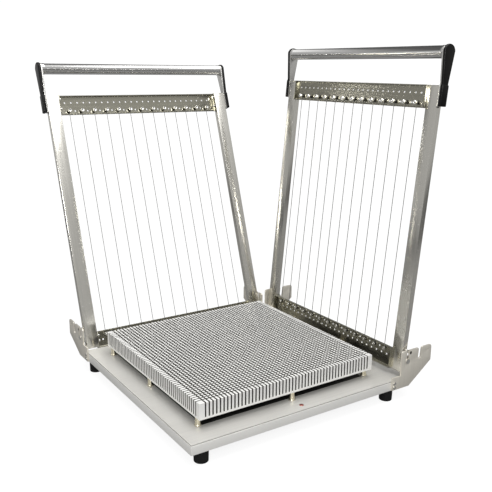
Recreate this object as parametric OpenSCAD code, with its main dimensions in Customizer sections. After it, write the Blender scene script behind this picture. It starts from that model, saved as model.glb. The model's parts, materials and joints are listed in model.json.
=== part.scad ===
/* [Base] */
// Side of the square base
base_w = 474; // [470:1:478]
// Height of the base without its feet
base_h = 20.5; // [20:0.5:24]
// Thickness of the base's top plate
plate_t = 2.5; // [2:0.5:3]
// Thickness of the folded skirt and the bottom cover
sheet_t = 1.5; // [1:0.5:2]
// Height of a rubber foot
foot_h = 24; // [16:0.5:30]
// Radius of a rubber foot at the top
foot_r = 14; // [12:0.5:16]

/* [Platen] */
// Side of the square slotted platen
platen_w = 400; // [396:1:402]
// Height of the gap under the platen
platen_lift = 16.5; // [15:0.5:17]
// Height of the platen
platen_h = 32; // [28:0.5:40]
// Thickness left under the slots
platen_floor = 4.7; // [3:0.1:5]
// Width of a slot
slot_w = 3; // [2:0.1:4]

/* [Strings] */
// Number of strings in each arm
string_count = 13; // [5:2:13]
// Distance between neighbouring strings
string_pitch = 30; // [24:1:30]
// Radius of a string
string_r = 0.7; // [0.5:0.05:0.7]

/* [Arms] */
// Clear width between the two rails of an arm
arm_gap = 408; // [406:1:409]
// Width of a rail
rail_w = 28; // [26:1:28]
// Depth of a rail
rail_d = 12.5; // [12:0.5:12.5]
// Distance from the hinge to the top of the rails
rail_top = 545; // [544:1:556]
// Distance from the hinge to the middle of the handle
handle_u = 606; // [604:1:620]
// Radius of the handle tube
tube_r = 12; // [11:0.5:13]
// How far the left arm leans back from the closed position, in degrees
left_open = 108.7; // [95:0.1:108.7]
// How far the right arm leans back from the closed position, in degrees
right_open = 95.4; // [92:0.1:95.4]

/* [Hidden] */
LEFT = 0;
RIGHT = 1;
NEAR = -1;
FAR = 1;
half = base_w / 2;
round_fn = 48;
eps = 0.01;

// Hinge line of each arm: distance out from the middle of the base, and height
hinge = [[261.5, 43.5], [261, 55]];
open_angle = [left_open, right_open];
// The rest of the arm data is in the closed arm's own frame: origin on the hinge
// line, u towards the handle, z up. Level of the strings and underside of the rails.
string_z = [0, -9];
rail_z = [-13.5, -10.5];
rail_mid = [for (z = rail_z) z + rail_d / 2];
rail_bottom = [-28, -25];
anchor_u = [[-31, 6], [-25, 19]];
tension_u = [rail_top - 44, rail_top];
bar_t = 2;
lip_d = 7;
end_screw_z = [-8.5, -1.5];
string_x = [for (i = [0 : string_count - 1]) (i - (string_count - 1) / 2) * string_pitch];
fine_pitch = 7.5;
fine_x = [for (i = [-25 : 25]) i * fine_pitch];
hole_pitch = 15;
hole_x = [for (i = [-12.5 : 12.5]) i * hole_pitch];
hole_r = 2;
notch_w = 2.4;
screw_u = tension_u[0] + 10;
stud_drop = 9;
clear = 0.1;

// Side fittings of an arm, stacked outwards from the rails
rail_out = arm_gap / 2 + rail_w;
fitting_t = 3;
fitting_out = rail_out + fitting_t;
cover_out = fitting_out + 6.5;
cover_foot_out = fitting_out + 7.5;
cover_start = 506;
bracket_r = 13;
lug_r = 11;
pin_r = 5;
pin_fit = 0.05;

// Hinge cheeks: plates on the outside of the skirt
cheek_t = 3;
cheek_in = half;
cheek_out = half + cheek_t;
cheek_p = [221, 243.5, 328];
cheek_rise = 24;
cheek_low = 0.3;
lap_z = 10.3;
tab_top = [32.5, 27.5];
stop_r = 3;
stop_u = 18;
stop_gap = 0.2;
stop_in = 222;
cheek_screw = [[227, 6], [227, 15]];

// Platen, standoffs and feet
platen_z = base_h + platen_lift;
slot_z = platen_z + platen_floor;
stand_in = 194;
stand_corner = 183.75;
stand_mid = 3.75;
stand_xy = concat(
    [for (x = [-stand_in, stand_in], y = [-stand_corner, stand_corner]) [x, y]],
    [for (s = [-stand_in, stand_in]) [s, stand_mid]],
    [for (s = [-stand_in, stand_in]) [stand_mid, s]]);
m4_r = 2;
foot_xy = [[28 - half, 16 - half], [half - 15, 15 - half], [16 - half, half - 15],
    [half - 15, half - 15]];
plug_xy = [6, -221];

// Ledge of the top plate that reaches out under the right arm: its depth and its two ends
ledge = 45;
ledge_y = [0.5 - half, cheek_p[0] - 1];

// Four free holes in the bottom cover, for bolting the cutter down
fix_xy = 150;
fix_r = 3.25;

arm_parts = ["near_rail", "far_rail", "tension_bar", "anchor_bar", "near_pivot", "far_pivot",
    "pivot_screws", "handle_tube", "handle_plugs", "handle_bolts", "near_bracket", "far_bracket",
    "near_cover", "far_cover", "cover_screws", "strings", "string_anchors", "tension_screws",
    "tension_nuts", "frame_screws"];

// ---- helpers ----

function arc(c, r, a, b, n = 8) =
    [for (i = [0 : n]) c + r * [cos(a + (b - a) * i / n), sin(a + (b - a) * i / n)]];

// A cylinder along X from x = a to x = b
module rod_x(a, b, r) {
    translate([min(a, b), 0, 0]) rotate([0, 90, 0]) cylinder(h = abs(b - a), r = r, $fn = round_fn);
}

// Puts something drawn in the closed arm's frame where the open arm holds it.
// In that frame u runs along -Y, so a point at u has y = -u.
module on_arm(a) {
    translate(a == LEFT ? [0, hinge[a][0], hinge[a][1]] : [hinge[a][0], 0, hinge[a][1]])
        rotate([0, 0, a == LEFT ? 0 : -90])
            rotate([-open_angle[a], 0, 0]) children();
}

// The near side of the left arm is its -X end; of the right arm, its +X end
function side(a, end) = a == LEFT ? end : -end;

module at_uz(u, z) {
    translate([0, -u, z]) children();
}

// An outline drawn in (u, z), extruded from x = a to x = b
module plate_uz(a, b) {
    translate([max(a, b), 0, 0]) rotate([90, 0, -90]) linear_extrude(abs(b - a)) children();
}

// Puts a cheek, drawn as (outward distance, height), on one side of the base
module on_cheek(a, end) {
    if (a == LEFT) {
        translate([end < 0 ? -cheek_out : cheek_in, 0, 0])
            rotate([90, 0, 90]) children();
    } else {
        translate([0, end < 0 ? -cheek_in : cheek_out, 0])
            rotate([90, 0, 0]) children();
    }
}

// ---- base ----

module base_top() {
    color([0.80, 0.80, 0.78]) difference() {
        translate([0, 0, base_h - plate_t]) linear_extrude(plate_t)
            polygon([[-half, -half], [half, -half], [half, ledge_y[0]], [half + ledge, ledge_y[0]],
                [half + ledge, ledge_y[1]], [half, ledge_y[1]], [half, half], [-half, half]]);
        for (p = stand_xy)
            translate([p[0], p[1], base_h - plate_t - 1])
                cylinder(h = plate_t + 2, r = m4_r + clear, $fn = round_fn);
        translate([plug_xy[0], plug_xy[1], base_h - plate_t - 1])
            cylinder(h = plate_t + 2, r = 3, $fn = round_fn);
    }
}

module base_skirt() {
    inner = base_w - 2 * sheet_t;
    color([0.86, 0.86, 0.84]) difference() {
        translate([-half, -half, 0]) cube([base_w, base_w, base_h - plate_t]);
        translate([-inner / 2, -inner / 2, -1]) cube([inner, inner, base_h + 2]);
        for (a = [LEFT, RIGHT], end = [NEAR, FAR], p = cheek_screw)
            on_cheek(a, end) translate([p[0], p[1], -6])
                cylinder(h = 15, r = m4_r + clear, $fn = round_fn);
    }
}

module base_bottom() {
    inner = base_w - 2 * sheet_t;
    color([0.70, 0.70, 0.69]) difference() {
        translate([-inner / 2, -inner / 2, 0]) cube([inner, inner, sheet_t]);
        for (p = foot_xy)
            translate([p[0], p[1], -1]) cylinder(h = sheet_t + 2, r = 3 + clear, $fn = round_fn);
        for (x = [-fix_xy, fix_xy], y = [-fix_xy, fix_xy])
            translate([x, y, -1]) cylinder(h = sheet_t + 2, r = fix_r, $fn = round_fn);
    }
}

module foot(i) {
    color([0.06, 0.06, 0.06]) translate([foot_xy[i][0], foot_xy[i][1], -foot_h]) difference() {
        cylinder(h = foot_h, r1 = foot_r - 1, r2 = foot_r, $fn = round_fn);
        translate([0, 0, -1]) cylinder(h = foot_h - 7, r = 5.5, $fn = round_fn);
        translate([0, 0, -1]) cylinder(h = foot_h + 2, r = 3 + clear, $fn = round_fn);
    }
}

module foot_front_left() foot(0);
module foot_front_right() foot(1);
module foot_back_left() foot(2);
module foot_back_right() foot(3);

module foot_screws() {
    color([0.55, 0.55, 0.55])
        for (p = foot_xy)
            translate([p[0], p[1], 0]) {
                translate([0, 0, -12]) cylinder(h = 4, r = 5, $fn = round_fn);
                translate([0, 0, -8 - eps]) cylinder(h = 14, r = 3, $fn = round_fn);
                translate([0, 0, sheet_t]) cylinder(h = 4, r = 5.5, $fn = 6);
            }
}

// ---- platen ----

module platen() {
    color([0.85, 0.85, 0.82]) difference() {
        translate([-platen_w / 2, -platen_w / 2, platen_z]) cube([platen_w, platen_w, platen_h]);
        for (x = string_x) {
            translate([x - slot_w / 2, -platen_w, slot_z]) cube([slot_w, 2 * platen_w, platen_h]);
            translate([-platen_w, x - slot_w / 2, slot_z]) cube([2 * platen_w, slot_w, platen_h]);
        }
        for (p = stand_xy)
            translate([p[0], p[1], platen_z - 1])
                cylinder(h = 9, r = m4_r + clear, $fn = round_fn);
    }
}

module platen_standoffs() {
    color([0.78, 0.76, 0.68]) for (p = stand_xy)
        translate([p[0], p[1], base_h]) difference() {
            cylinder(h = platen_lift, r1 = 6.5, r2 = 5, $fn = round_fn);
            translate([0, 0, -1])
                cylinder(h = platen_lift + 2, r = m4_r + clear, $fn = round_fn);
        }
}

module platen_screws() {
    color([0.60, 0.60, 0.60]) for (p = stand_xy)
        translate([p[0], p[1], base_h - plate_t]) {
            translate([0, 0, -3]) cylinder(h = 3, r = 4, $fn = round_fn);
            translate([0, 0, -eps])
                cylinder(h = plate_t + platen_lift + 7, r = m4_r, $fn = round_fn);
        }
}

module hole_plug() {
    color([0.62, 0.30, 0.24]) translate([plug_xy[0], plug_xy[1], base_h - plate_t]) {
        cylinder(h = plate_t + eps, r = 2.95, $fn = round_fn);
        translate([0, 0, plate_t]) cylinder(h = 1, r = 4.5, $fn = round_fn);
    }
}

// ---- hinge cheeks ----

// Outline of a cheek; x is the distance out from the middle of the base, y the height
module cheek_outline(a, tab) {
    top = hinge[a][1] + cheek_rise;
    low = hinge[a][1] - 10.5;
    notch = top - 20;
    p0 = cheek_p[0];
    p1 = cheek_p[1];
    p2 = cheek_p[2];
    polygon(concat(
        [[p0, cheek_low], [p0, tab], [p1, tab]],
        arc([p1 + 4, top - 4], 4, 180, 90),
        arc([287, top - 5], 5, 90, 20),
        [[290.5, notch]],
        arc([294, notch], 3.5, 180, 360),
        [[299, top - 6]],
        arc([303, top - 4], 4, 180, 90),
        arc([p2 - 6, top - 6], 6, 90, 0),
        [[p2, low], [268, cheek_low]]));
}

// The keyhole takes the pivot pin; lap cuts half of the joint where two cheeks cross
module cheek(a, end, tab, lap = 0) {
    h = hinge[a];
    s = stop_at(a);
    color([0.74, 0.73, 0.68]) difference() {
        on_cheek(a, end) linear_extrude(cheek_t) cheek_outline(a, tab);
        on_cheek(a, end) translate([0, 0, -1]) {
            translate([h[0], h[1], 0]) cylinder(h = cheek_t + 2, r = pin_r + pin_fit, $fn = 96);
            translate([h[0] - 2.6, h[1], 0]) cube([5.2, cheek_rise + 1, cheek_t + 2]);
            translate([s[0], s[1], 0]) cylinder(h = cheek_t + 2, r = stop_r, $fn = round_fn);
            translate([318, h[1] + cheek_rise - 10, 0])
                cylinder(h = cheek_t + 2, r = 1.5, $fn = round_fn);
            for (p = cheek_screw)
                translate([p[0], p[1], 0])
                    cylinder(h = cheek_t + 2, r = m4_r + clear, $fn = round_fn);
            if (lap != 0)
                translate([cheek_in - clear, lap > 0 ? lap_z : -1, 0])
                    cube([cheek_t + 2 * clear, lap > 0 ? tab : lap_z + 1, cheek_t + 2]);
        }
    }
}

module left_near_cheek() cheek(LEFT, NEAR, tab_top[LEFT]);
module left_far_cheek() cheek(LEFT, FAR, tab_top[LEFT], 1);
module right_near_cheek() cheek(RIGHT, NEAR, tab_top[RIGHT]);
module right_far_cheek() cheek(RIGHT, FAR, base_h - 0.5, -1);

module cheek_screws() {
    color([0.55, 0.55, 0.54]) for (a = [LEFT, RIGHT], end = [NEAR, FAR], p = cheek_screw) {
        // the drawing's +Z points along +X for the left arm's cheeks, along -Y for the right's
        outward = a == LEFT ? end : -end;
        head = outward > 0 ? cheek_t : -1.5;
        on_cheek(a, end) translate([p[0], p[1], 0]) {
            translate([0, 0, head]) cylinder(h = 1.5, r = 3.4, $fn = round_fn);
            translate([0, 0, outward > 0 ? -sheet_t - 3 : -eps])
                cylinder(h = cheek_t + sheet_t + 3 + eps, r = m4_r, $fn = round_fn);
        }
    }
}

// Where the back of an open rail bears: (outward distance, height) of the stop pin's axis
function stop_at(a) = let (t = open_angle[a], z = rail_z[a] + rail_d + stop_r + stop_gap)
    hinge[a] + stop_u * [-cos(t), sin(t)] + z * [sin(t), cos(t)];

module stop_pins() {
    color([0.66, 0.66, 0.64]) for (a = [LEFT, RIGHT], end = [NEAR, FAR]) {
        s = stop_at(a);
        // from the cheek's outer face to over the rail
        lo = end < 0 ? -cheek_out : stop_in;
        if (a == LEFT)
            translate([lo, s[0], s[1]]) rotate([0, 90, 0])
                cylinder(h = cheek_out - stop_in, r = stop_r, $fn = round_fn);
        else
            translate([s[0], lo, s[1]]) rotate([-90, 0, 0])
                cylinder(h = cheek_out - stop_in, r = stop_r, $fn = round_fn);
    }
}

// ---- arm parts, drawn in the closed arm's frame ----

bar_screw_u = [for (us = [[-15, -3], [-10, 8]]) [us, [rail_top - 32, rail_top - 10]]];
cover_screw_u = [cover_start + 8, cover_start + 31];
lug_screw_u = [-6, 6];
lug_screw_z = [for (z = rail_z) z + 5];

module rail(a, end) {
    s = side(a, end);
    color([0.75, 0.74, 0.69]) on_arm(a) difference() {
        translate([s > 0 ? arm_gap / 2 : -rail_out, -rail_top, rail_z[a]])
            cube([rail_w, rail_top - rail_bottom[a], rail_d]);
        for (us = bar_screw_u[a], u = us)
            at_uz(u, end_screw_z[a]) rod_x(s * (arm_gap / 2 - 1), s * (arm_gap / 2 + 12), m4_r + clear);
        for (u = cover_screw_u)
            at_uz(u, rail_mid[a]) rod_x(s * (rail_out - 10), s * (rail_out + 1), m4_r + clear);
        for (u = lug_screw_u)
            at_uz(u, lug_screw_z[a]) rod_x(s * (rail_out - 8), s * (rail_out + 1), m4_r + clear);
    }
}

// A folded channel across the arm: a drilled web behind the strings, two lips that
// reach in past them, and end flanges against the rails. lip_us is where the lips are.
module channel(a, us, notched_u, stud_u, row_u) {
    web_z = string_z[a] + 1;
    lip_z = string_z[a] - lip_d + 1;
    end_lo = rail_z[a] + 0.5;
    end_hi = max(rail_z[a] + rail_d - 0.5, web_z + bar_t);
    w = arm_gap - eps;
    flange_u = max(us[0], rail_bottom[a]);
    difference() {
        union() {
            translate([-w / 2, -us[1], web_z]) cube([w, us[1] - us[0], bar_t]);
            for (u = [us[0], us[1] - bar_t])
                translate([-w / 2, -u - bar_t, lip_z]) cube([w, bar_t, web_z - lip_z + eps]);
            for (x = [-w / 2, w / 2 - bar_t])
                translate([x, -us[1], end_lo]) cube([bar_t, us[1] - flange_u, end_hi - end_lo]);
        }
        for (x = fine_x)
            translate([x - notch_w / 2, -notched_u - bar_t - 1, lip_z - 1])
                cube([notch_w, bar_t + 2, string_z[a] + string_r + 0.1 - lip_z + 1]);
        for (x = string_x)
            translate([x, -stud_u, web_z - 1]) cylinder(h = bar_t + 2, r = 2.6, $fn = round_fn);
        for (i = [0 : string_count - 2])
            translate([(string_x[i] + string_x[i + 1]) / 2, -stud_u, web_z - 1])
                cylinder(h = bar_t + 2, r = hole_r, $fn = round_fn);
        for (x = hole_x)
            translate([x, -row_u, web_z - 1]) cylinder(h = bar_t + 2, r = hole_r, $fn = round_fn);
        for (us = bar_screw_u[a], u = us, s = [-1, 1])
            at_uz(u, end_screw_z[a])
                rod_x(s * (w / 2 - bar_t - 1), s * (w / 2 + 1), m4_r + clear);
    }
}

module tension_bar(a) {
    color([0.70, 0.69, 0.64]) on_arm(a)
        channel(a, tension_u, tension_u[0], screw_u, screw_u + 19);
}

module anchor_bar(a) {
    us = anchor_u[a];
    color([0.66, 0.65, 0.58]) on_arm(a)
        channel(a, us, us[1] - bar_t, us[1] - stud_drop, us[1] - stud_drop - 11);
}

// A lug on the rail's outer side with the pivot pin standing out of it
module pivot(a, end) {
    s = side(a, end);
    color([0.68, 0.67, 0.63]) on_arm(a) difference() {
        union() {
            rod_x(s * rail_out, s * fitting_out, lug_r);
            translate([s > 0 ? rail_out : -fitting_out, -lug_r, rail_z[a] + 0.5])
                cube([fitting_t, 2 * lug_r, -rail_z[a] - 0.5]);
            rod_x(s * (fitting_out - eps), s * (cheek_out + 1), pin_r);
        }
        for (u = lug_screw_u) at_uz(u, lug_screw_z[a]) {
            rod_x(s * (rail_out - 1), s * (fitting_out + 1), m4_r + clear);
            rod_x(s * (fitting_out - 1.8), s * (fitting_out + 1), 3.6);
        }
    }
}

module pivot_screws(a) {
    color([0.5, 0.5, 0.5]) on_arm(a) for (s = [-1, 1], u = lug_screw_u)
        at_uz(u, lug_screw_z[a]) {
            rod_x(s * (fitting_out - 1.8), s * (fitting_out - 0.1), 3.4);
            rod_x(s * (rail_out - 7), s * (fitting_out - 1.8 + eps), m4_r);
        }
}

// Fixes a bar between the rails: head inside the end flange, shank in the rail
module frame_screws(a) {
    x = arm_gap / 2 - bar_t;
    color([0.5, 0.5, 0.5]) on_arm(a) for (s = [-1, 1], us = bar_screw_u[a], u = us)
        at_uz(u, end_screw_z[a]) {
            rod_x(s * (x - 2.5), s * (x - eps), 3.4);
            rod_x(s * (x - 2 * eps), s * (x + bar_t + 11), m4_r);
        }
}

// Outline of the bracket that carries the handle; grow makes the cover's outline
module bracket_outline(a, grow) {
    m = rail_mid[a];
    hw = rail_d / 2 + grow;
    r = bracket_r + grow;
    translate([handle_u, m]) circle(r = r, $fn = round_fn);
    polygon([[cover_start, m - hw], [rail_top + 4, m - hw], [handle_u - 3, m - r + 0.4],
        [handle_u - 3, m + r - 0.4], [rail_top + 4, m + hw], [cover_start, m + hw]]);
}

module bracket(a, end) {
    s = side(a, end);
    color([0.80, 0.79, 0.76]) on_arm(a) difference() {
        plate_uz(s * rail_out, s * fitting_out) bracket_outline(a, 0);
        at_uz(handle_u, rail_mid[a]) rod_x(s * (rail_out - 1), s * (fitting_out + 1), 4 + clear);
        for (u = cover_screw_u)
            at_uz(u, rail_mid[a]) rod_x(s * (rail_out - 1), s * (fitting_out + 1), m4_r + clear);
    }
}

module cover(a, end) {
    s = side(a, end);
    m = rail_mid[a];
    color([0.05, 0.05, 0.05]) on_arm(a) difference() {
        union() {
            plate_uz(s * fitting_out, s * cover_out) bracket_outline(a, 1.5);
            plate_uz(s * fitting_out, s * cover_foot_out)
                translate([cover_start, m - 8.5]) square([40, 17]);
        }
        at_uz(handle_u, m) rod_x(s * (fitting_out - 1), s * (fitting_out + 4.6), 7.2);
        for (u = cover_screw_u) at_uz(u, m) {
            rod_x(s * (fitting_out - 1), s * (cover_foot_out + 1), m4_r + clear);
            rod_x(s * (cover_foot_out - 3), s * (cover_foot_out + 1), 4);
        }
    }
}

module cover_screws(a) {
    color([0.3, 0.3, 0.3]) on_arm(a) for (s = [-1, 1], u = cover_screw_u)
        at_uz(u, rail_mid[a]) {
            rod_x(s * (cover_foot_out - 3), s * (cover_foot_out - 0.5), 3.7);
            rod_x(s * (rail_out - 9), s * (cover_foot_out - 3 + eps), m4_r);
        }
}

module handle_tube(a) {
    color([0.83, 0.83, 0.82]) on_arm(a) at_uz(handle_u, rail_mid[a]) difference() {
        rod_x(-rail_out, rail_out, tube_r);
        rod_x(-rail_out - 1, rail_out + 1, tube_r - 2);
    }
}

module handle_plugs(a) {
    color([0.3, 0.3, 0.3]) on_arm(a) at_uz(handle_u, rail_mid[a]) for (s = [-1, 1]) difference() {
        rod_x(s * (rail_out - 20), s * rail_out, tube_r - 2 - clear);
        rod_x(s * (rail_out - 21), s * (rail_out + 1), 4 + clear);
    }
}

module handle_bolts(a) {
    color([0.5, 0.5, 0.5]) on_arm(a) at_uz(handle_u, rail_mid[a]) for (s = [-1, 1]) {
        rod_x(s * fitting_out, s * (fitting_out + 4), 6.5);
        rod_x(s * (rail_out - 18), s * (fitting_out + eps), 4);
    }
}

// The strings run from the anchor studs to the tension screws
module strings(a) {
    from = anchor_u[a][1] - stud_drop + 2.7;
    color([0.6, 0.6, 0.6]) on_arm(a) for (x = string_x)
        translate([x, -from, string_z[a]]) rotate([90, 0, 0])
            cylinder(h = screw_u - 2.7 - from, r = string_r, $fn = 16);
}

module string_anchors(a) {
    u = anchor_u[a][1] - stud_drop;
    z = string_z[a];
    color([0.72, 0.71, 0.68]) on_arm(a) for (x = string_x) translate([x, -u, 0]) {
        translate([0, 0, z - 3.5]) cylinder(h = 1.8, r = 3.8, $fn = round_fn);
        translate([0, 0, z - 1.7 - eps]) cylinder(h = 5, r = 2.5, $fn = round_fn);
        translate([0, 0, z + 3]) cylinder(h = 1.5, r = 3.6, $fn = round_fn);
    }
}

module tension_screws(a) {
    z = string_z[a];
    color([0.78, 0.78, 0.76]) on_arm(a) for (x = string_x) translate([x, -screw_u, 0]) {
        difference() {
            translate([0, 0, z - 8]) cylinder(h = 4, r = 4.2, $fn = round_fn);
            translate([0, 0, z - 9]) cylinder(h = 3, r = 2.2, $fn = 6);
        }
        translate([0, 0, z - 4 - eps]) cylinder(h = 12, r = 2.5, $fn = round_fn);
    }
}

module tension_nuts(a) {
    z = string_z[a];
    color([0.6, 0.6, 0.58]) on_arm(a) for (x = string_x) translate([x, -screw_u, z + 3])
        difference() {
            cylinder(h = 4, r = 4.6, $fn = 6);
            translate([0, 0, -1]) cylinder(h = 6, r = 2.5 + clear, $fn = round_fn);
        }
}

// ---- named nodes of the two arms ----
module left_near_rail() rail(LEFT, NEAR);
module left_far_rail() rail(LEFT, FAR);
module left_tension_bar() tension_bar(LEFT);
module left_anchor_bar() anchor_bar(LEFT);
module left_near_pivot() pivot(LEFT, NEAR);
module left_far_pivot() pivot(LEFT, FAR);
module left_pivot_screws() pivot_screws(LEFT);
module left_handle_tube() handle_tube(LEFT);
module left_handle_plugs() handle_plugs(LEFT);
module left_handle_bolts() handle_bolts(LEFT);
module left_near_bracket() bracket(LEFT, NEAR);
module left_far_bracket() bracket(LEFT, FAR);
module left_near_cover() cover(LEFT, NEAR);
module left_far_cover() cover(LEFT, FAR);
module left_cover_screws() cover_screws(LEFT);
module left_strings() strings(LEFT);
module left_string_anchors() string_anchors(LEFT);
module left_tension_screws() tension_screws(LEFT);
module left_tension_nuts() tension_nuts(LEFT);
module left_frame_screws() frame_screws(LEFT);

module right_near_rail() rail(RIGHT, NEAR);
module right_far_rail() rail(RIGHT, FAR);
module right_tension_bar() tension_bar(RIGHT);
module right_anchor_bar() anchor_bar(RIGHT);
module right_near_pivot() pivot(RIGHT, NEAR);
module right_far_pivot() pivot(RIGHT, FAR);
module right_pivot_screws() pivot_screws(RIGHT);
module right_handle_tube() handle_tube(RIGHT);
module right_handle_plugs() handle_plugs(RIGHT);
module right_handle_bolts() handle_bolts(RIGHT);
module right_near_bracket() bracket(RIGHT, NEAR);
module right_far_bracket() bracket(RIGHT, FAR);
module right_near_cover() cover(RIGHT, NEAR);
module right_far_cover() cover(RIGHT, FAR);
module right_cover_screws() cover_screws(RIGHT);
module right_strings() strings(RIGHT);
module right_string_anchors() string_anchors(RIGHT);
module right_tension_screws() tension_screws(RIGHT);
module right_tension_nuts() tension_nuts(RIGHT);
module right_frame_screws() frame_screws(RIGHT);

base_top();
base_skirt();
base_bottom();
foot_front_left();
foot_front_right();
foot_back_left();
foot_back_right();
foot_screws();
platen();
platen_standoffs();
platen_screws();
left_near_cheek();
left_far_cheek();
right_near_cheek();
right_far_cheek();
cheek_screws();
stop_pins();
hole_plug();
left_near_rail();
left_far_rail();
left_tension_bar();
left_anchor_bar();
left_near_pivot();
left_far_pivot();
left_pivot_screws();
left_handle_tube();
left_handle_plugs();
left_handle_bolts();
left_near_bracket();
left_far_bracket();
left_near_cover();
left_far_cover();
left_cover_screws();
left_strings();
left_string_anchors();
left_tension_screws();
left_tension_nuts();
left_frame_screws();
right_near_rail();
right_far_rail();
right_tension_bar();
right_anchor_bar();
right_near_pivot();
right_far_pivot();
right_pivot_screws();
right_handle_tube();
right_handle_plugs();
right_handle_bolts();
right_near_bracket();
right_far_bracket();
right_near_cover();
right_far_cover();
right_cover_screws();
right_strings();
right_string_anchors();
right_tension_screws();
right_tension_nuts();
right_frame_screws();
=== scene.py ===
import json
from math import cos, hypot, pi, radians, sin, tau

import bmesh
import bpy
from mathutils import Matrix, Vector


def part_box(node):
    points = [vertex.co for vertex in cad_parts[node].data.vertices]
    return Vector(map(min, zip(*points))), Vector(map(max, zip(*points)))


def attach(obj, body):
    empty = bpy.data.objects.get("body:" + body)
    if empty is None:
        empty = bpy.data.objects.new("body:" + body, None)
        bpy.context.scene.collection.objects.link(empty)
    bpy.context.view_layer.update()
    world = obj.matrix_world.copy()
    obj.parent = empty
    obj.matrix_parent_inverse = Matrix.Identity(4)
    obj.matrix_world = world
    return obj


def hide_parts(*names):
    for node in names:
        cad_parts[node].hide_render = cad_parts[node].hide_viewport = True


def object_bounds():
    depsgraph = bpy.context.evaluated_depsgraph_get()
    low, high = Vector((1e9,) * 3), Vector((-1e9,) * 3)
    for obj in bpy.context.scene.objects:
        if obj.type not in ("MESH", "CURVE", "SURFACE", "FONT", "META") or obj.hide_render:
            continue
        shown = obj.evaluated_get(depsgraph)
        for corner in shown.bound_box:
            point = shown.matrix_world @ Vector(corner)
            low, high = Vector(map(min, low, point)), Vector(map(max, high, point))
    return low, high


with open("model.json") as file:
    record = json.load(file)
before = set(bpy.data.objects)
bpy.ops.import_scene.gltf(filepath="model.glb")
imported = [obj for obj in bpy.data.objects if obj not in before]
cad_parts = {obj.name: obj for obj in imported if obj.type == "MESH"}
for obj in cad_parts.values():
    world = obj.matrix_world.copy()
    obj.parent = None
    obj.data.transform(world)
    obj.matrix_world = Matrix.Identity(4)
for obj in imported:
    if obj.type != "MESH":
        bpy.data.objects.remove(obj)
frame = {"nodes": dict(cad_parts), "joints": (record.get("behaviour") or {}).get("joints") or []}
cad_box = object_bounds()

# ---- Base top ----
# The flat top plate of the base, 2.5 mm satin aluminium with its edges broken by hand. It lies
# on the folded skirt, and a ledge of it reaches out under the right arm. The square under the
# platen, where it lies in shade, is painted black as shade.
MM = 0.001
base_low, base_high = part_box("base_top")
base_half = base_high.y
top_corner = 1.5 * MM
corner_steps = 4
top_edge = 0.5 * MM
ledge_end = 220 * MM
ledge_slant = 2 * MM
ledge_near = 0.5 * MM - base_half
# half width of the square of painted shade under the platen
painted_shade_half = 187 * MM
weld = 1e-6
crease = radians(34)


class Wire:
    """A value in a shader. The operators add Math nodes, and also work with plain numbers."""

    def __init__(self, paint, socket):
        self.paint = paint
        self.socket = socket

    def math(self, operation, *values):
        return self.paint.node("Math", {"operation": operation}, dict(enumerate(values)))

    def __add__(self, other):
        return self.math("ADD", self, other)

    def __radd__(self, other):
        return self.math("ADD", other, self)

    def __sub__(self, other):
        return self.math("SUBTRACT", self, other)

    def __rsub__(self, other):
        return self.math("SUBTRACT", other, self)

    def __mul__(self, other):
        return self.math("MULTIPLY", self, other)

    def __rmul__(self, other):
        return self.math("MULTIPLY", other, self)

    def __gt__(self, other):
        return self.math("GREATER_THAN", self, other)


class Paint:
    """A node tree under construction."""

    def __init__(self, owner):
        owner.use_nodes = True
        self.owner = owner
        self.tree = owner.node_tree
        self.tree.nodes.clear()

    def node(self, kind, settings=None, sockets=None, out=0):
        """Adds a node: first its settings or a ramp's stops, then its sockets' values or links."""
        made = self.tree.nodes.new("ShaderNode" + kind)
        for key, value in (settings or {}).items():
            if key == "stops":
                ramp = made.color_ramp.elements
                while len(ramp) < len(value):
                    ramp.new(0.5)
                for stop, (place, level) in zip(ramp, value):
                    stop.position = place
                    stop.color = (level, level, level, 1)
            else:
                setattr(made, key, value)
        for key, value in (sockets or {}).items():
            if isinstance(value, Wire):
                self.tree.links.new(value.socket, made.inputs[key])
            else:
                made.inputs[key].default_value = value
        return Wire(self, made.outputs[out]) if made.outputs else made

    def noise(self, frequency, detail=2.0):
        """Noise with its own number of waves per metre along x, y and z."""
        place = self.node("TexCoord", out="Object")
        scaled = self.node("VectorMath", {"operation": "MULTIPLY"}, {0: place, 1: frequency})
        return self.node("TexNoise", {}, {"Vector": scaled, "Scale": 1.0, "Detail": detail})

    def blend(self, amount, low, high):
        """A colour between low and high."""
        values = {0: amount, 6: (*low, 1), 7: (*high, 1)}
        return self.node("Mix", {"data_type": "RGBA"}, values, 2)

    def surface(self, **sockets):
        """Ends the tree in a Principled shader."""
        named = {key.replace("_", " "): value for key, value in sockets.items()}
        shader = self.node("BsdfPrincipled", {}, named, "BSDF")
        self.node("OutputMaterial", {}, {"Surface": shader})
        return self.owner


def shade(colour, factor):
    return tuple(channel * factor for channel in colour)


grain_height = 0.1 * MM
mark_waves = (9, 9, 9)
scratch_waves = (70, 260, 900)
scratch_level = 0.73


def brushed(name, colour, rough, frequency, depth, streak, metallic=1.0):
    """Metal with a brushed grain, faint hand marks and a few fine scratches."""
    paint = Paint(bpy.data.materials.new(name))
    grain = paint.noise(frequency, 3.0)
    marks = paint.noise(mark_waves, 3.0)
    scratch = paint.noise(scratch_waves, 1.0) > scratch_level
    tone = grain * 0.7 + marks * 0.3
    bump = {"Strength": depth, "Distance": grain_height, "Height": grain}
    return paint.surface(
        Base_Color=paint.blend(tone, shade(colour, 1 - streak * 2), shade(colour, 1 + streak)),
        Metallic=metallic,
        Roughness=rough + (grain - 0.5) * 0.16 + (marks - 0.5) * 0.14 + scratch * 0.08,
        Normal=paint.node("Bump", {}, bump, "Normal"),
    )


def arc(centre, radius, start, end, steps=8):
    """Points of an arc, angles in degrees."""
    return [
        (
            centre[0] + radius * cos(radians(start + (end - start) * i / steps)),
            centre[1] + radius * sin(radians(start + (end - start) * i / steps)),
        )
        for i in range(steps + 1)
    ]


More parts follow.
